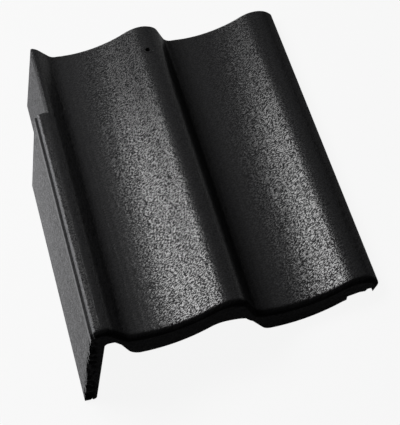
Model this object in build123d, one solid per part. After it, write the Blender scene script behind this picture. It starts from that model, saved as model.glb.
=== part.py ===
from build123d import *
import math
import os

# Left-hand verge tile of coated concrete: two rolls of a double-S roof tile, with a
# cloak hanging from its left edge. It is pressed and cured as one piece.
# Its section is drawn looking up the slope, with x across the roof from the cloak's
# top outer corner and z up from the bottom of the troughs. y runs from tail to head.

# Overall sizes
tile_length = 420.0
roll_pitch = 150.0
wall = 12.0

# Waves of the top face
roll_height = 32.0
first_trough = 52.5
trough_radius = 140.0
crest_radius = 35.0
shoulder_radius = 16.0
shoulder_start = 18.0
steep_slope = 62.0
steep_foot_radius = 13.0
crest_flat = 1.5

# Verge roll, the low roll over the cloak
ledge_height = 14.5
ledge_width = 3.0
verge_rise_slope = 75.0
verge_rise_radius = 9.5
verge_radius = 18.0
verge_slope = 45.0
verge_foot_radius = 14.0
verge_wall = 10.0

# Overlock at the right edge, which covers the next tile's channel
overlock_reach = 22.0
overlock_radius = 26.0
lip_radius = 6.0
lip_undercut = 18.0
edge_rib_level = 7.0
edge_rib_width = 2.6
lock_groove_level = 14.5
lock_groove_width = 7.0
lock_rib_level = 10.5
lock_rib_width = 9.5
lock_rib_draft = 2.5

# Cloak at the left edge
cloak_depth = 136.0
cloak_splay = 2.4
cloak_top_thickness = 15.5
cloak_draft = 3.6
cloak_foot_radius = 5.0
hollow_level = 0.6

# Head end of the cloak, set in so that the cloak of the tile above laps over it
headlap = 105.0
flap_clearance = 0.6
flap_thickness = 13.0
flap_overlap = 25.0
flap_edge_radius = 2.0

# Height from a tile to the one that it lies on, taken up by the nose bar
course_step = 30.0

# Nose bar, and the weather bars behind it
nose_bar_length = 12.0
nose_radius = 4.5
bar_root = 6.0
bar_left = 29.5
bar_left_slope = 60.0
bar_left_radius = 18.0
bar_crest_flat = 7.5
bar_steep_slope = 52.0
bar_end_inset = 13.5
nose_closure_level = 6.0
weather_bar_count = 2
weather_bar_length = 8.0
weather_bar_gap = 14.0
weather_bar_step = 24.0

# Hanging nibs under the head
nib_offset = 15.0
nib_width = 34.0
nib_length = 22.0
nib_depth = 16.3
nib_draft = 8.0
nib_edge_radius = 3.0

# Nail hole in the first crest, with its raised rim
nail_hole_radius = 3.0
nail_hole_from_head = 40.0
nail_rim_radius = 5.5
nail_rim_height = 0.5

# Two edges closer than this touch
touching = 0.01


def sin(angle):
    return math.sin(math.radians(angle))


def cos(angle):
    return math.cos(math.radians(angle))


def tan(angle):
    return math.tan(math.radians(angle))


# The section's places, worked out from the sizes above

def fall(run, drop, top_radius, bend_radius, bend_start, slope, foot_radius):
    """Straight length and end slope of a flank that falls from a crest to a trough."""
    run_left = run - top_radius * sin(bend_start) - bend_radius * (sin(slope) - sin(bend_start))
    drop_left = drop - top_radius * (1 - cos(bend_start)) - bend_radius * (cos(bend_start) - cos(slope))
    run_left = run_left - foot_radius * sin(slope)
    drop_left = drop_left + foot_radius * cos(slope) - trough_radius
    reach = trough_radius - foot_radius
    end_slope = slope - math.degrees(math.acos((run_left * sin(slope) - drop_left * cos(slope)) / reach))
    run_left = run_left - reach * sin(end_slope)
    drop_left = drop_left + reach * cos(end_slope)
    return run_left * cos(slope) + drop_left * sin(slope), end_slope


rise_slope = math.degrees(math.acos(1 - roll_height / (trough_radius + crest_radius)))
rise_run = (trough_radius + crest_radius) * sin(rise_slope)

verge_top = ledge_height + verge_rise_radius * (1 - cos(verge_rise_slope))
verge_crest = ledge_width + verge_rise_radius * sin(verge_rise_slope)
verge_length, verge_end = fall(
    first_trough - verge_crest, verge_top, verge_radius, verge_radius, 0.0,
    verge_slope, verge_foot_radius,
)

first_crest = first_trough + rise_run
second_trough = first_trough + roll_pitch
second_crest = second_trough + rise_run
bar_right = second_crest - bar_end_inset
lip_slope = math.degrees(math.asin((overlock_reach - lip_radius) / (overlock_radius - lip_radius)))
cloak_foot = verge_top - cloak_depth
flap_start = tile_length - headlap


def cloak_outer(z):
    """Outer face of the cloak, across the roof at a height."""
    return (z - ledge_height) * tan(cloak_splay)


def cloak_inner(z):
    """Inner face of the cloak, across the roof at a height."""
    return cloak_top_thickness + (z - hollow_level) * tan(cloak_draft)


def flap_outer(z):
    """Outer face of the set-in head end, just clear of the cloak of the tile above."""
    return cloak_inner(z - course_step) + flap_clearance


def flap_inner(z):
    """Inner face of the set-in head end."""
    return flap_outer(z) + flap_thickness


# The lines of the section

def arc_on(edges, radius, turn):
    """Adds an arc that leaves the last edge tangentially; a left turn is positive."""
    last = edges[-1]
    edges.append(JernArc(start=last @ 1, tangent=last % 1, radius=radius, arc_size=turn))


def line_on(edges, length):
    """Adds a straight run that leaves the last edge tangentially."""
    start = edges[-1] @ 1
    edges.append(Line(start, start + (edges[-1] % 1) * length))


def two_rolls(edges, depth, flat, slope):
    """Adds the waves, that deep under the top face, from the first trough to the end of the last rise."""
    run = roll_pitch - rise_run - flat
    length, end = fall(
        run, roll_height, crest_radius, shoulder_radius, shoulder_start, slope, steep_foot_radius
    )
    arc_on(edges, trough_radius + depth, rise_slope)
    arc_on(edges, crest_radius - depth, -rise_slope)
    line_on(edges, flat)
    arc_on(edges, crest_radius - depth, -shoulder_start)
    arc_on(edges, shoulder_radius - depth, shoulder_start - slope)
    line_on(edges, length)
    arc_on(edges, steep_foot_radius + depth, slope - end)
    arc_on(edges, trough_radius + depth, end + rise_slope)


def wave_line(flat, slope):
    """Verge roll, waves and overlock, with a flat of that length on the first crest."""
    edges = [Line((0, ledge_height), (ledge_width, ledge_height))]
    rise = Vector(cos(verge_rise_slope), sin(verge_rise_slope))
    start = edges[0] @ 1
    edges.append(JernArc(start=start, tangent=rise, radius=verge_rise_radius, arc_size=-verge_rise_slope))
    arc_on(edges, verge_radius, -verge_slope)
    line_on(edges, verge_length)
    arc_on(edges, verge_foot_radius, verge_slope - verge_end)
    arc_on(edges, trough_radius, verge_end)
    two_rolls(edges, 0.0, flat, slope)
    arc_on(edges, crest_radius, -rise_slope)
    arc_on(edges, overlock_radius, -lip_slope)
    return edges


def top_line():
    """Top face, from the cloak's top corner to where the overlock's lip begins."""
    return wave_line(crest_flat, steep_slope)


def lip_end():
    """Lowest point of the lip's round edge, where its undercut face begins."""
    centre_x = second_crest + overlock_reach - lip_radius
    centre_z = roll_height - overlock_radius + (overlock_radius - lip_radius) * cos(lip_slope)
    return centre_x + lip_radius * cos(lip_undercut), centre_z - lip_radius * sin(lip_undercut)


# Ribs and grooves under the overlock, from the lip inwards
rib_tip = lip_end()[0] - (lip_end()[1] - edge_rib_level) * tan(lip_undercut)
groove_right = rib_tip - edge_rib_width
lock_rib_right = groove_right - lock_groove_width - lock_rib_draft
lock_rib_left = lock_rib_right - lock_rib_width
lock_ceiling = lock_rib_left - lock_rib_draft
ceiling_turn = math.degrees(math.asin((second_crest - lock_ceiling) / (crest_radius - wall)))


def under_line():
    """Underside, from the foot of the verge roll to the ceiling of the overlock."""
    radius = trough_radius + wall
    start = (first_trough - radius * sin(verge_end), radius * (1 - cos(verge_end)) - wall)
    fall_away = Vector(cos(verge_end), -sin(verge_end))
    edges = [JernArc(start=start, tangent=fall_away, radius=radius, arc_size=verge_end)]
    two_rolls(edges, wall, crest_flat, steep_slope)
    arc_on(edges, crest_radius - wall, ceiling_turn - rise_slope)
    return edges


def body_section():
    """Waves, verge roll and overlock, as far left as the cloak's outer corner."""
    top = top_line()
    arc_on(top, lip_radius, lip_slope - 90 - lip_undercut)
    under = under_line()
    ceiling = under[-1] @ 1
    ribs = Polyline(
        lip_end(),
        (rib_tip, edge_rib_level),
        (groove_right, edge_rib_level),
        (groove_right - lock_rib_draft / 2, lock_groove_level),
        (lock_rib_right + lock_rib_draft, lock_groove_level),
        (lock_rib_right, lock_rib_level),
        (lock_rib_left, lock_rib_level),
        ceiling,
    )
    flank_x = verge_crest + (verge_radius - verge_wall) * sin(verge_slope)
    flank_z = verge_top - verge_radius + (verge_radius - verge_wall) * cos(verge_slope)
    under_start = under[0] @ 0
    hollow = Polyline(
        under_start,
        (flank_x + (flank_z - under_start.Y) / tan(verge_slope), under_start.Y),
        (flank_x + (flank_z - hollow_level) / tan(verge_slope), hollow_level),
        (cloak_inner(hollow_level) / 2, hollow_level),
        (cloak_inner(hollow_level) / 2, ledge_height - bar_root),
        (0, ledge_height - bar_root),
        (0, ledge_height),
    )
    return make_face(top + ribs.edges() + under + hollow.edges())


def hanging_wall(outer, inner, foot, top):
    """Section of a wall that hangs between two faces, with a rounded inner foot."""
    corners = [(outer(foot), foot), (inner(foot), foot), (inner(top), top), (outer(top), top)]
    face = make_face(Polyline(*corners, close=True).edges())
    corner = face.vertices().sort_by_distance((inner(foot), foot, 0))[0]
    return fillet(corner, cloak_foot_radius)


def bar_section(step):
    """Section of a cross bar that follows the waves, clear of the steep flank of the tile below."""
    upper = [edge.moved(Location((0, -bar_root, 0))) for edge in top_line()]
    lower = [edge.moved(Location((0, -step, 0))) for edge in wave_line(bar_crest_flat, bar_steep_slope)]
    sides = [Line(upper[0] @ 0, lower[0] @ 0), Line(upper[-1] @ 1, lower[-1] @ 1)]
    band = make_face(upper + lower + sides)
    low = -step - touching
    foot = bar_left + (hollow_level - low) / tan(bar_left_slope)
    between_ends = Polyline(
        (bar_left, roll_height),
        (bar_left, hollow_level),
        (foot, low),
        (bar_right, low),
        (bar_right, roll_height),
        close=True,
    )
    ends = make_face(between_ends.edges())
    corner = ends.vertices().sort_by_distance((foot, low, 0))[0]
    return band & fillet(corner, bar_left_radius)


def closure_section():
    """Section of the nose where it closes the gap between its bar and the lock rib."""
    corners = [
        (bar_right - bar_root, nose_closure_level),
        (bar_right, nose_closure_level),
        (lock_rib_left + lock_rib_draft, lock_rib_level),
        (lock_rib_left + lock_rib_draft, roll_height - bar_root),
        (bar_right, lock_groove_level + bar_root),
        (bar_right - bar_root, lock_groove_level),
    ]
    return make_face(Polyline(*corners, close=True).edges())


def along(section, start, end):
    """Stands a section upright and runs it from one y to another."""
    upright = Plane(origin=(0, end, 0), x_dir=(1, 0, 0), z_dir=(0, -1, 0)) * section
    return extrude(upright, amount=end - start)


def nib(trough):
    """Hanging nib under the head, whose flat tail face hooks behind the batten."""
    middle = trough + nib_offset
    top = -bar_root
    bottom = -wall - nib_depth
    half_foot = nib_width / 2
    half_root = half_foot + (top - bottom) * tan(nib_draft)
    corners = [
        (middle - half_root, top),
        (middle - half_foot, bottom),
        (middle + half_foot, bottom),
        (middle + half_root, top),
    ]
    block = along(make_face(Polyline(*corners, close=True).edges()), tile_length - nib_length, tile_length)
    foot_edges = block.edges().filter_by(Axis.Y).group_by(Axis.Z)[0]
    return fillet(foot_edges, nib_edge_radius)


def flap():
    """Set-in head end of the cloak, which starts with a slope on the cloak's inner face."""
    foot = cloak_foot + course_step
    start = flap_start - flap_overlap
    block = along(hanging_wall(flap_outer, flap_inner, foot, hollow_level), start, tile_length)
    root = flap_outer(foot)
    full = flap_inner(hollow_level)
    beside_slope = Polyline(
        (root, start),
        (full, flap_start),
        (full + wall, flap_start),
        (full + wall, start - wall),
        (root, start - wall),
        close=True,
    )
    prism = extrude(make_face(beside_slope.edges()), amount=cloak_depth, both=True)
    return block - prism


def nose_edges(tile):
    """Edges of the tail face along the top of the rolls and the lip."""
    crown = top_line()[1:]
    arc_on(crown, lip_radius, lip_slope - 90 - lip_undercut)
    upright = Plane(origin=(0, 0, 0), x_dir=(1, 0, 0), z_dir=(0, -1, 0))
    crown = Curve() + [upright * edge for edge in crown]
    found = []
    for edge in tile.edges().filter_by_position(Axis.Y, -touching, touching):
        if crown.distance_to(edge.center()) < touching:
            found.append(edge)
    return found


def flap_edge(tile):
    """Edge between the top face and the outer face of the set-in head end."""
    middle = (flap_outer(verge_top), (flap_start + tile_length) / 2, verge_top)
    return tile.edges().filter_by(Axis.Y).sort_by_distance(middle)[0]


def verge_tile():
    """The whole tile in the frame of its section."""
    tile = along(body_section(), 0, tile_length)
    cloak = hanging_wall(cloak_outer, cloak_inner, cloak_foot, ledge_height)
    tile += along(cloak, 0, flap_start)
    tile += flap()

    set_back = Polyline(
        (-headlap, verge_top + wall),
        (-headlap, cloak_foot - wall),
        (flap_outer(cloak_foot - wall), cloak_foot - wall),
        (flap_outer(verge_top + wall), verge_top + wall),
        close=True,
    )
    tile -= along(make_face(set_back.edges()), flap_start, tile_length + wall)

    tile += along(bar_section(course_step) + closure_section(), 0, nose_bar_length)
    for number in range(weather_bar_count):
        start = nose_bar_length + weather_bar_gap + number * (weather_bar_length + weather_bar_gap)
        tile += along(bar_section(weather_bar_step), start, start + weather_bar_length)

    for trough in (first_trough, second_trough):
        tile += nib(trough)

    tile = fillet(nose_edges(tile), nose_radius)
    tile = fillet(flap_edge(tile), flap_edge_radius)

    nail_place = Location((first_crest, tile_length - nail_hole_from_head, roll_height))
    rim_height = nail_rim_height + bar_root
    down = (Align.CENTER, Align.CENTER, Align.MAX)
    tile += nail_place * Pos(0, 0, nail_rim_height) * Cylinder(nail_rim_radius, rim_height, align=down)
    tile -= nail_place * Cylinder(nail_hole_radius, 4 * wall)
    return tile


def resting_tilt():
    """Turn about y that lays the tile down on its cloak's foot and its nose bar."""
    foot_z = cloak_foot + cloak_foot_radius
    foot_x = cloak_inner(foot_z) - cloak_foot_radius / cos(cloak_draft)
    across = second_trough - foot_x
    up = trough_radius - course_step - foot_z
    leaning = math.degrees(math.asin((trough_radius - cloak_foot_radius) / math.hypot(across, up)))
    return math.degrees(math.atan2(up, across)) - leaning


def laid_down(tile):
    """Lays the tile on a level floor, with the middle of its footprint at the origin."""
    tile = tile.rotate(Axis.Y, resting_tilt())
    box = tile.bounding_box()
    return tile.translate((-box.center().X, -box.center().Y, -box.min.Z))


os.makedirs("parts", exist_ok=True)
export_step(laid_down(verge_tile()), "parts/verge_tile.step")
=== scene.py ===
import bmesh
import bpy
import math
import numpy as np
from mathutils import Matrix, Vector


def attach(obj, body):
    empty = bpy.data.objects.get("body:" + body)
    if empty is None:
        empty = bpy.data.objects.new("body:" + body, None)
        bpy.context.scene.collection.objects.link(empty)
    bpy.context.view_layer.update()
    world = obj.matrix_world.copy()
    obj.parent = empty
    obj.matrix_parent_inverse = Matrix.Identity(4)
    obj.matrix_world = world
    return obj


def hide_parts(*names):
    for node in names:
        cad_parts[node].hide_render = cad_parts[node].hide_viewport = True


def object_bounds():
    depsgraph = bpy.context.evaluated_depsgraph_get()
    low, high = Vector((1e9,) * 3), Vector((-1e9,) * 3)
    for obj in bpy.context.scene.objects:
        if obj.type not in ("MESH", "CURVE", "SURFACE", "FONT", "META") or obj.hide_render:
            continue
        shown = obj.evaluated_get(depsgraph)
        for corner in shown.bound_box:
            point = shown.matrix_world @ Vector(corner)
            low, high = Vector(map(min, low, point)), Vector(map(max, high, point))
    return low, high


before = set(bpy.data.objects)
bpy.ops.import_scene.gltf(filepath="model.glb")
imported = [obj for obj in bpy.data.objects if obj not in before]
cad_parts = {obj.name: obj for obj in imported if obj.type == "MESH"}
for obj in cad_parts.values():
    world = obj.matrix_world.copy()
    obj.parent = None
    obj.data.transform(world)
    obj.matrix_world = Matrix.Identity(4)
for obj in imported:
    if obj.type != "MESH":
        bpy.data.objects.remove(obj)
cad_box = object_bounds()
scene = bpy.context.scene
scene.view_settings.view_transform = "Standard"

# The verge tile is one piece of dark concrete, pressed and struck to its section, with the
# cloak cast down its left side. Its top carries a thin coat over a ridged skin, the cloak's
# outer side keeps the grain of its mould, and the ends and the underside are bare.
MM = 0.001
LEAN = math.radians(20.69417)
SECTION_CORNER = Vector((-132.814, -210.0, 108.657)) * MM
ACROSS = Vector((math.cos(LEAN), 0, -math.sin(LEAN)))
ALONG = Vector((0, 1, 0))
UP = Vector((math.sin(LEAN), 0, math.cos(LEAN)))

# Places on the tile in mm, across, along and up from the section's corner
TILE_LENGTH = 420.0
COVER_WIDTH = 300.0
LIP_START = 303.0
HIGHEST = 30.0
TOP_SIDE_FOOT = -20.0
CLOAK_FOOT = -144.0
CLOAK_TOP = 14.5
CLOAK_END_REACH = 18.0
CLOAK_SIDE_REACH = 24.0
SET_IN_START = 2.0
FLAP_START = 315.0
LEDGE_WIDTH = 3.0

# The verge's fuller round, the fuller first crest and the cove in the cloak's inner corner
VERGE_RISE = 9.18
VERGE_RADIUS = 9.5
VERGE_CENTRE = 12.04
VERGE_CREST = 21.54
VERGE_SPREAD = 2.2
VERGE_FULLNESS = 0.15
VERGE_BLEND = 4.0
FULL_CREST = 155.0
CREST_REACH = 21.0
CREST_LIFT = 1.1
CREST_FACING = 0.1
CREST_BLEND = 0.4
COVE_RADIUS = 5.0
COVE_CENTRE = Vector((20.5, -4.4))
COVE_LEFT = 15.35
COVE_TOP = 0.7

# The rows that the faces are cut in, finer where the cloak's tail end is chipped
WIDEST_UNCUT = 5.5
SECTION_STEP = 3.0
FINE_STEP = SECTION_STEP / 2
ROW = 2.8
CHIPPED_ROW = 1.4
CHIPPED_LENGTH = 12.6
CHIPPED_HEIGHT = 9.0
CHIPPED_REACH = 9.0

# How near counts as touching, in metres for the first two and in mm for the margins, and
# the angles up to which two faces are one flat face, or meet without a sharp edge
SAME_POINT = 1e-6
SLIVER = 2e-5
CUT_MARGIN = 0.01
LEDGE_MARGIN = 0.02
FACE_MARGIN = 0.1
EDGE_MARGIN = 0.2
FLAT_ANGLE = math.radians(0.2)
SHARP_ANGLE = math.radians(32)


def extent(face, way):
    """The least and greatest reach of a face along a direction, in mm from the section's corner."""
    reach = [(point.co - SECTION_CORNER).dot(way) / MM for point in face.verts]
    return min(reach), max(reach)


def cut_in_rows(mesh, faces, way, places):
    """Cuts faces by planes square to a direction, at places in mm that rise."""
    spans = sorted(((*extent(face, way), face) for face in faces), key=lambda span: -span[0])
    reached = []
    for place in places:
        while spans and spans[-1][0] < place - CUT_MARGIN:
            reached.append(spans.pop())
        crossed = [face for low, high, face in reached if high > place + CUT_MARGIN]
        reached = []
        if not crossed:
            continue
        parts = set(crossed)
        for face in crossed:
            parts.update(face.edges)
            parts.update(face.verts)
        cut = bmesh.ops.bisect_plane(
            mesh, geom=list(parts), dist=SAME_POINT,
            plane_co=SECTION_CORNER + way * place * MM, plane_no=way,
        )
        for face in cut["geom"]:
            if isinstance(face, bmesh.types.BMFace):
                low, high = extent(face, way)
                if high > place + CUT_MARGIN:
                    reached.append((low, high, face))


def wide_faces(mesh, way):
    """The faces that are too wide along a direction to carry the wear."""
    faces = []
    for face in mesh.faces:
        low, high = extent(face, way)
        if high - low > WIDEST_UNCUT:
            faces.append(face)
    return faces


def cloak_end_faces(mesh):
    """The faces of the cloak that lie within the chipped length."""
    faces = []
    for face in mesh.faces:
        in_length = extent(face, ALONG)[1] < CHIPPED_LENGTH + FACE_MARGIN
        if in_length and extent(face, ACROSS)[1] < CLOAK_END_REACH:
            faces.append(face)
    return faces


# The solid's faces are merged, and cut in rows fine enough to carry the wear
body = bmesh.new()
body.from_mesh(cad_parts["verge_tile"].data)
bmesh.ops.remove_doubles(body, verts=body.verts, dist=SAME_POINT)
bmesh.ops.dissolve_limit(body, verts=body.verts, edges=body.edges, angle_limit=FLAT_ANGLE)
columns = np.arange(SECTION_STEP, COVER_WIDTH, SECTION_STEP)
cut_in_rows(body, wide_faces(body, ACROSS), ACROSS, columns)
levels = np.arange(CLOAK_FOOT, HIGHEST, SECTION_STEP)
cut_in_rows(body, wide_faces(body, UP), UP, levels)
chipped_rows = np.arange(CHIPPED_ROW, CHIPPED_LENGTH, CHIPPED_ROW)
rows = np.arange(CHIPPED_LENGTH, TILE_LENGTH, ROW)
cut_in_rows(body, body.faces, ALONG, [*chipped_rows, *rows])
fine_levels = np.arange(CLOAK_FOOT, CLOAK_TOP, FINE_STEP)
cut_in_rows(body, cloak_end_faces(body), UP, fine_levels)
fine_columns = np.arange(FINE_STEP, CLOAK_END_REACH, FINE_STEP)
cut_in_rows(body, cloak_end_faces(body), ACROSS, fine_columns)
bmesh.ops.dissolve_degenerate(body, dist=SLIVER, edges=body.edges)
bmesh.ops.triangulate(body, faces=[face for face in body.faces if len(face.verts) > 4])


def round_lift(across):
    """How far the verge stands fuller than the solid's round just behind its ledge."""
    share = (across - LEDGE_WIDTH) / VERGE_RISE
    solid_round = VERGE_CENTRE + math.sqrt(VERGE_RADIUS ** 2 - (VERGE_RISE * (1.0 - share)) ** 2)
    risen = (1.0 - (1.0 - share) ** VERGE_SPREAD) ** VERGE_FULLNESS
    return CLOAK_TOP + (VERGE_CREST - CLOAK_TOP) * risen - solid_round


def crest_lift(across):
    """How far the first crest stands fuller than the solid's, most at its top."""
    share = max(1.0 - abs(across - FULL_CREST) / CREST_REACH, 0.0)
    return CREST_LIFT * share * share * (3.0 - 2.0 * share)


# The inner corner is coved, and the verge and the first crest are raised
body.normal_update()
for point in body.verts:
    from_corner = point.co - SECTION_CORNER
    across, up = from_corner.dot(ACROSS) / MM, from_corner.dot(UP) / MM
    in_corner = COVE_LEFT < across < COVE_CENTRE.x and COVE_CENTRE.y < up < COVE_TOP
    if in_corner and from_corner.dot(ALONG) < FLAP_START * MM:
        from_centre = Vector((across, up)) - COVE_CENTRE
        to_cove = from_centre * (COVE_RADIUS / from_centre.length - 1.0)
        point.co += (ACROSS * to_cove.x + UP * to_cove.y) * MM
    on_verge = LEDGE_WIDTH - LEDGE_MARGIN < across < LEDGE_WIDTH + VERGE_RISE
    faces_up = point.normal.dot(UP)
    if on_verge and up > CLOAK_TOP - VERGE_BLEND:
        by_ledge = min((up - CLOAK_TOP + VERGE_BLEND) / VERGE_BLEND, 1.0)
        if across > LEDGE_WIDTH + LEDGE_MARGIN:
            point.co += UP * round_lift(across) * by_ledge * MM
        point.co.z = min(point.co.z, cad_box[1][2])
    elif faces_up > CREST_FACING:
        on_top = min((faces_up - CREST_FACING) / CREST_BLEND, 1.0)
        point.co += UP * crest_lift(across) * on_top * MM
tile_mesh = bpy.data.meshes.new("tile_body")
body.to_mesh(tile_mesh)
body.free()
tile_mesh.attributes.remove(tile_mesh.attributes["custom_normal"])
tile_mesh.shade_smooth()
tile_mesh.set_sharp_from_angle(angle=SHARP_ANGLE)
tile = bpy.data.objects.new("tile_body", tile_mesh)
scene.collection.objects.link(tile)


def gathered(items, name):
    """One direction or place of each of a mesh's parts, as rows of three numbers."""
    values = np.empty(len(items) * 3, dtype=np.float32)
    items.foreach_get(name, values)
    return values.reshape(-1, 3)


def smooth_step(low, high, values):
    """Goes smoothly from 0 at one value to 1 at the other."""
    share = np.clip((values - low) / (high - low), 0.0, 1.0)
    return share * share * (3.0 - 2.0 * share)


def section_values(points):
    """Places in mm across, along and up from the section's corner."""
    places = (points - np.array(SECTION_CORNER)) / MM
    return places @ np.array(ACROSS), places[:, 1], places @ np.array(UP)


def store(name, domain, values):
    """Keeps a number for each of the mesh's points or face corners, for the nodes to read."""
    layer = tile_mesh.attributes.new(name, "FLOAT", domain)
    layer.data.foreach_set("value", values.astype(np.float32))


# Where each finish lies, and where shade and highlights are painted, by the place of a
# face's corner and the way that it faces there
FACES_OUTWARDS = (0.80, 0.95)
corners = np.empty(len(tile_mesh.loops), dtype=np.int32)
tile_mesh.loops.foreach_get("vertex_index", corners)
points = gathered(tile_mesh.vertices, "co")
facing = gathered(tile_mesh.corner_normals, "vector")
across, along, up = section_values(points[corners])
faces_up = facing @ np.array(UP)
faces_right = facing @ np.array(ACROSS)
faces_tail = -facing[:, 1]

# The coat gives way to the darker bare finish as painted shade: on slopes that face right,
# away from the softbox, on the verge's shoulder in place of its highlight, and at a slope's
# foot where the roll's shadow falls
shade_on_lip = smooth_step(0.05, 0.35, faces_right) * 0.9
shade_on_slope = smooth_step(0.2, 0.55, faces_right) * 0.7
shade_on_shoulder = smooth_step(4.6, 6.4, across) * smooth_step(13.0, 10.5, across) * 0.92
shadow_at_foot = smooth_step(10.0, 4.0, up) * smooth_step(-0.12, 0.10, faces_right) * 0.55
out_of_painted_shade = 1.0 - np.where(across > LIP_START, shade_on_lip, shade_on_slope)
out_of_painted_shade = out_of_painted_shade * (1.0 - shade_on_shoulder) * (1.0 - shadow_at_foot)
# The coat is left off the rounded nose at the tail end, as painted shade there
behind_nose = smooth_step(0.35, 0.05, faces_tail) * smooth_step(5.0, 8.5, along)
at_top = (up > TOP_SIDE_FOOT) * behind_nose
store("coat_with_painted_shade", "CORNER", smooth_step(0.02, 0.30, faces_up) * out_of_painted_shade * at_top)

# The cloak's side shows its grain, but less where it is set in or the coat's spray reached it
by_setting = np.where(across > SET_IN_START, 0.75, 1.0)
faces_out = smooth_step(*FACES_OUTWARDS, -faces_right) * (across < CLOAK_SIDE_REACH) * by_setting
sprayed_over = smooth_step(CLOAK_TOP - 5.0, CLOAK_TOP - 2.0, up)
store("cloak_face", "CORNER", faces_out * (1.0 - sprayed_over * 0.5))
# Slopes that face left, towards the softbox; elsewhere the coat is cut back as painted shade
store("faces_softbox", "CORNER", smooth_step(0.02, 0.25, -faces_right))
# The verge's rise takes the cast grain, and its cast tone is made paler there as a painted
# highlight
on_rise = (across > LEDGE_WIDTH - EDGE_MARGIN) * (up > CLOAK_TOP - EDGE_MARGIN) * at_top
on_ledge = smooth_step(0.90, 0.99, faces_up) * (across < LEDGE_WIDTH + FACE_MARGIN)
store("verge_face", "CORNER", smooth_step(6.6, 3.6, across) * on_rise * (1.0 - on_ledge))
# The bare finish is darkened towards the nose as painted shade
by_nose = smooth_step(10.0, 6.0, along) * (up > TOP_SIDE_FOOT)
store("painted_nose_shade", "CORNER", by_nose * (faces_up > 0.1))
# A band on the cloak's side just under its top edge, where a painted highlight is put
below_spray = smooth_step(CLOAK_TOP - 13.0, CLOAK_TOP - 7.0, up) * (1.0 - sprayed_over)
store("painted_arris_highlight", "CORNER", below_spray * (across < 0.5))

# Where the skin swells, where it is grained, and where the cloak's tail end was struck
across, along, up = section_values(points)
facing = gathered(tile_mesh.vertex_normals, "vector")
faces_up = facing @ np.array(UP)
faces_right = facing @ np.array(ACROSS)
store("swell", "POINT", smooth_step(0.3, 0.7, faces_up) * (up > TOP_SIDE_FOOT))
on_side = smooth_step(*FACES_OUTWARDS, -faces_right) * (across < CLOAK_SIDE_REACH)
store("grained", "POINT", on_side)
near_end = smooth_step(CHIPPED_LENGTH, 0.0, along) * (up < CHIPPED_HEIGHT)
store("struck_off", "POINT", near_end * smooth_step(CHIPPED_REACH, 1.0, across))


class Flow:
    """A socket in a tree of nodes, which takes part in sums as a number does."""

    def __init__(self, tree, socket=None):
        self.tree = tree
        self.socket = socket

    def node(self, kind, settings=None, inputs=None, output=0):
        """Adds a node: its settings first, then the values or links of its sockets."""
        made = self.tree.nodes.new(kind)
        for name, value in (settings or {}).items():
            setattr(made, name, value)
        for name, value in (inputs or {}).items():
            if isinstance(value, Flow):
                self.tree.links.new(value.socket, made.inputs[name])
            else:
                made.inputs[name].default_value = value
        return Flow(self.tree, made.outputs[output]) if made.outputs else None

    def maths(self, operation, *values):
        return self.node("ShaderNodeMath", {"operation": operation}, dict(enumerate(values)))

    def rise(self, low, high):
        """Goes smoothly from 0 at one value to 1 at the other."""
        return self.node("ShaderNodeMapRange", {"interpolation_type": "SMOOTHSTEP"}, {
            "Value": self, "From Min": low, "From Max": high,
        })

    def tone(self, dark, light):
        """A grey between two shades, a little cool as wet cement is."""
        shades = {6: (dark, dark, dark * 1.04, 1.0), 7: (light, light, light * 1.04, 1.0)}
        return self.node("ShaderNodeMix", {"data_type": "RGBA"}, {0: self, **shades}, output=2)

    def __add__(self, other):
        return self.maths("ADD", self, other)

    def __sub__(self, other):
        return self.maths("SUBTRACT", self, other)

    def __rsub__(self, other):
        return self.maths("SUBTRACT", other, self)

    def __mul__(self, other):
        return self.maths("MULTIPLY", self, other)

    def __rtruediv__(self, other):
        return self.maths("DIVIDE", other, self)

    __radd__ = __add__
    __rmul__ = __mul__


# The finish: its grains to the metre, its relief and the cloak's height over the floor in
# metres, and its darkest and lightest shades
RIDGE_SCALE = 960.0
GRAIN_SCALE = 640.0
CAST_SCALE = 150.0
PATCH_SCALE = 45.0
RIDGE_TURN = math.radians(22)
RIDGE_STRETCH = (2.3, 1.0, 2.3)
RIDGE_RELIEF = 0.00030
CAST_RELIEF = 0.0030
COAT_SHADES = (0.018, 0.034)
CAST_SHADES = (0.020, 0.240)
BARE_SHADES = (0.003, 0.036)
CLOAK_HEIGHT = 0.115
finish = bpy.data.materials.new("coated_concrete")
finish.use_nodes = True
finish.node_tree.nodes.clear()
paint = Flow(finish.node_tree)


def painted(name):
    """Where a finish lies, as the mesh keeps it."""
    return paint.node("ShaderNodeAttribute", {"attribute_name": name}, output="Fac")


place = paint.node("ShaderNodeTexCoord", output="Object")
coat_with_shade = painted("coat_with_painted_shade")
cloak = painted("cloak_face")
verge = painted("verge_face")
arris_highlight = painted("painted_arris_highlight")
# The slopes that face the softbox, which the painted shade spares
ridged = painted("faces_softbox")
nose = painted("painted_nose_shade")

drawn_out = paint.node("ShaderNodeMapping", {"vector_type": "TEXTURE"}, {
    "Vector": place, "Rotation": (0.0, 0.0, RIDGE_TURN), "Scale": RIDGE_STRETCH,
})
ridges = paint.node("ShaderNodeTexNoise", inputs={
    "Vector": drawn_out, "Scale": RIDGE_SCALE, "Detail": 1.0, "Roughness": 0.5, "Distortion": 0.3,
})
grains = paint.node("ShaderNodeTexNoise", inputs={
    "Vector": place, "Scale": GRAIN_SCALE, "Detail": 2.0, "Roughness": 0.6,
})
cast_grain = paint.node("ShaderNodeTexNoise", inputs={
    "Vector": place, "Scale": CAST_SCALE, "Detail": 3.0, "Roughness": 0.75,
})
patches = paint.node("ShaderNodeTexNoise", inputs={
    "Vector": place, "Scale": PATCH_SCALE, "Detail": 2.0,
})
relief = paint.node("ShaderNodeBump", inputs={
    "Height": coat_with_shade * ridges, "Strength": 1.0, "Distance": RIDGE_RELIEF,
})
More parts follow.
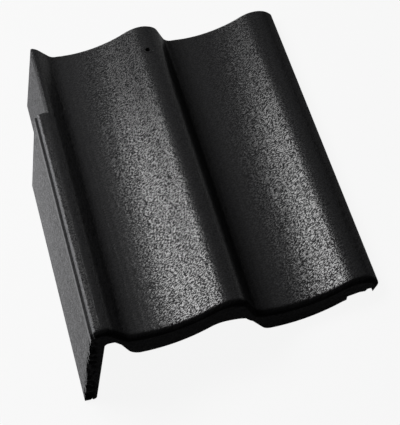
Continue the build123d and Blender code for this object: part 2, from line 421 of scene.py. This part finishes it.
rough = paint.node("ShaderNodeBump", inputs={
    "Height": cast_grain + grains * 0.2, "Strength": 1.0, "Distance": CAST_RELIEF,
})

# The thin coat, satin on the skin and duller on the verge's rise
coat = paint.node("ShaderNodeBsdfPrincipled", inputs={
    "Base Color": ridges.tone(*COAT_SHADES), "Roughness": 0.31 + verge * 0.35,
    "IOR": 1.6, "Specular IOR Level": 0.84, "Normal": relief,
})

# The cast side, speckled, with painted highlights along its top edge and on the verge's rise,
# and paler towards its foot and the head
lengthways = paint.node("ShaderNodeSeparateXYZ", inputs={"Vector": place}, output="Y")
height = paint.node("ShaderNodeSeparateXYZ", inputs={"Vector": place}, output="Z")
paler_below = (CLOAK_HEIGHT - height) * (1.0 + lengthways.rise(-0.12, 0.06) * 2.4)
speckle = cast_grain.rise(0.38, 0.62) * 0.45 + grains.rise(0.44, 0.56) * 0.55 + patches * 0.2
# The arris band and the verge's rise are made paler here as painted highlights
speckle = speckle + lengthways * 0.3 + paler_below + arris_highlight * 0.75 + verge * 0.7 - 0.10
cast = paint.node("ShaderNodeBsdfPrincipled", inputs={
    "Base Color": speckle.tone(*CAST_SHADES), "Roughness": 0.6,
    "Specular IOR Level": 0.4, "Normal": rough,
})

# The bare ends and underside, with painted shade that makes them darkest at the nose
bare_grain_and_nose_shade = grains * (1.0 - nose * 0.9)
bare = paint.node("ShaderNodeBsdfPrincipled", inputs={
    "Base Color": bare_grain_and_nose_shade.tone(*BARE_SHADES), "Roughness": 0.9,
    "Specular IOR Level": 0.02, "Normal": rough,
})

# The coat shows on the ridges and not on the verge's grains. The pits between the ridges get
# painted shade, and so does the skin where it does not face left towards the softbox; on
# the slopes that do, a painted fall-off dims the coat towards the head
grained = (verge * (grains * 3.0 - 0.4)).rise(0.2, 0.9)
pit_shade = (1.0 - ridges.rise(0.455, 0.575)) * (ridged * 0.45 + 0.52)
coat_and_shade = (1.0 - pit_shade) * (ridged * 0.38 + 0.62) * (1.0 - ridged * lengthways.rise(0.0, 0.16) * 0.4)
ends = paint.node("ShaderNodeMixShader", inputs={
    0: paint.maths("MAXIMUM", cloak, grained), 1: bare, 2: cast,
})
skin = paint.node("ShaderNodeMixShader", inputs={
    0: coat_with_shade * coat_and_shade * (1.0 - grained), 1: ends, 2: coat,
})
paint.node("ShaderNodeOutputMaterial", inputs={"Surface": skin})

# The worn skin sinks in swells and in grain, and the cloak's tail end is chipped
SWELLS_DRAWN_ACROSS = (0.5, 1.0, 0.5)
worn = bpy.data.node_groups.new("worn_skin", "GeometryNodeTree")
worn.interface.new_socket("Geometry", in_out="OUTPUT", socket_type="NodeSocketGeometry")
worn.interface.new_socket("Geometry", in_out="INPUT", socket_type="NodeSocketGeometry")
worn_sizes = {
    "Swell depth": 0.0004, "Swell length": 0.011, "Grain depth": 0.0007, "Grain length": 0.0055,
    "Chip depth": 0.0080, "Chip length": 0.0060, "Seed": 7.0,
}
worn_inputs = {}
for name in worn_sizes:
    worn_inputs[name] = worn.interface.new_socket(
        name, in_out="INPUT", socket_type="NodeSocketFloat",
    )
shape = Flow(worn)


def given(name):
    """One of the tree's own inputs."""
    return shape.node("NodeGroupInput", output=name)


def stored(name):
    """A number that the mesh keeps for each of its points."""
    return shape.node("GeometryNodeInputNamedAttribute", {"data_type": "FLOAT"}, {"Name": name})


def noise(vector, length, detail):
    """Unevenness that is as long as one of the tree's inputs says."""
    return shape.node("ShaderNodeTexNoise", {"noise_dimensions": "4D"}, {
        "Vector": vector, "W": given("Seed"), "Scale": 1.0 / given(length), "Detail": detail,
    })


position = shape.node("GeometryNodeInputPosition")
drawn = shape.node("ShaderNodeVectorMath", {"operation": "MULTIPLY"}, {
    0: position, 1: SWELLS_DRAWN_ACROSS,
})
sunk = (noise(drawn, "Swell length", 1.5) - 1.0) * given("Swell depth") * stored("swell")
grain_sunk = (noise(position, "Grain length", 1.0) - 1.0) * given("Grain depth")
sunk = sunk + grain_sunk * stored("grained")
sink = shape.node("ShaderNodeVectorMath", {"operation": "SCALE"}, {
    0: shape.node("GeometryNodeInputNormal"), "Scale": sunk,
})
knocked_off = noise(position, "Chip length", 2.0).rise(0.46, 0.56)
broken = knocked_off * given("Chip depth") * stored("struck_off")
chip = shape.node("ShaderNodeVectorMath", {"operation": "SCALE"}, {0: ALONG, "Scale": broken})
offset = shape.node("ShaderNodeVectorMath", {"operation": "ADD"}, {0: sink, 1: chip})
moved = shape.node("GeometryNodeSetPosition", inputs={
    "Geometry": given("Geometry"), "Offset": offset,
})
real = shape.node("GeometryNodeRealizeInstances", inputs={"Geometry": moved})
dressed = shape.node("GeometryNodeSetMaterial", inputs={"Geometry": real, "Material": finish})
shape.node("NodeGroupOutput", inputs={"Geometry": dressed})

skin_modifier = tile.modifiers.new("worn_skin", "NODES")
skin_modifier.node_group = worn
for name, value in worn_sizes.items():
    skin_modifier[worn_inputs[name].identifier] = value
bpy.context.view_layer.update()
worn_tile = tile.evaluated_get(bpy.context.evaluated_depsgraph_get())
finished = bpy.data.meshes.new_from_object(worn_tile)
tile.modifiers.clear()
tile.data = finished
bpy.data.meshes.remove(tile_mesh)
finished.name = "tile_body"
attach(tile, "root")
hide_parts("verge_tile")

# The floor is a plain pale sheet that runs well past the picture. It is seen nearly white,
# and lights the tile from below no more than a pale floor does.
FLOOR_REACH = 12.0
FLOOR_SEEN = 0.9
FLOOR_GREY = (0.5, 0.5, 0.5, 1.0)
WHITE = (1.0, 1.0, 1.0, 1.0)
floor_mesh = bpy.data.meshes.new("floor")
floor_corners = [(-FLOOR_REACH, -FLOOR_REACH, 0), (FLOOR_REACH, -FLOOR_REACH, 0)]
floor_corners += [(FLOOR_REACH, FLOOR_REACH, 0), (-FLOOR_REACH, FLOOR_REACH, 0)]
floor_mesh.from_pydata(floor_corners, [], [(0, 1, 2, 3)])
floor = bpy.data.objects.new("floor", floor_mesh)
scene.collection.objects.link(floor)
pale = bpy.data.materials.new("pale_floor")
pale.use_nodes = True
pale.node_tree.nodes.clear()
sheet = Flow(pale.node_tree)
seen = sheet.node("ShaderNodeLightPath", output="Is Camera Ray")
for kind in ("Is Glossy Ray", "Is Transmission Ray"):
    seen = sheet.maths("MAXIMUM", seen, sheet.node("ShaderNodeLightPath", output=kind))
matt = sheet.node("ShaderNodeBsdfDiffuse", inputs={"Color": FLOOR_GREY})
white = sheet.node("ShaderNodeEmission", inputs={"Color": WHITE, "Strength": 1.0})
blend = sheet.node("ShaderNodeMixShader", inputs={0: seen * FLOOR_SEEN, 1: matt, 2: white})
sheet.node("ShaderNodeOutputMaterial", inputs={"Surface": blend})
floor_mesh.materials.append(pale)

# One softbox stands to the left and behind, high over the cloak, in a dim room with pale
# walls. It lights the left sides of the rolls and the cloak, and leaves the tail end dark.
ROOM_LIGHT = 0.035
WALLS_SEEN = 0.88
world = bpy.data.worlds.new("room")
scene.world = world
world.use_nodes = True
world.node_tree.nodes.clear()
air = Flow(world.node_tree)
seen = air.node("ShaderNodeLightPath", output="Is Camera Ray")
walls = air.node("ShaderNodeBackground", inputs={
    "Color": WHITE, "Strength": seen * WALLS_SEEN + ROOM_LIGHT,
})
air.node("ShaderNodeOutputWorld", inputs={"Surface": walls})
softbox = bpy.data.lights.new("softbox", "AREA")
softbox.shape = "RECTANGLE"
softbox.size = 0.80
softbox.size_y = 0.50
softbox.energy = 11.5
softbox_object = bpy.data.objects.new("softbox", softbox)
softbox_object.visible_camera = False


def in_section(across, along, up):
    """A place in metres from the section's corner."""
    return SECTION_CORNER + ACROSS * across + ALONG * along + UP * up


stand = in_section(-0.540, 0.560, 0.776)
aim = in_section(0.120, 0.050, 0.015)
facing_aim = (stand - aim).to_track_quat("Z", "Y")
softbox_object.matrix_world = Matrix.LocRotScale(stand, facing_aim, None)
scene.collection.objects.link(softbox_object)

# The camera looks down over the cloak side from in front of the tail, as a person
# holding the tile's nose towards them would see it.
camera_data = bpy.data.cameras.new("camera")
camera_data.sensor_width = 36.0
camera_data.lens = 120.87
camera = bpy.data.objects.new("camera", camera_data)
eye = in_section(-0.185187, -0.776817, 1.311648)
rightwards = ACROSS * 0.963845 - ALONG * 0.256203 + UP * 0.073228
upwards = ACROSS * 0.163223 + ALONG * 0.784897 + UP * 0.597741
backwards = ALONG * -0.564178 - ACROSS * 0.210620 + UP * 0.798337
camera_turn = Matrix((rightwards, upwards, backwards)).transposed()
camera.matrix_world = Matrix.Translation(eye) @ camera_turn.to_4x4()
scene.collection.objects.link(camera)
scene.camera = camera
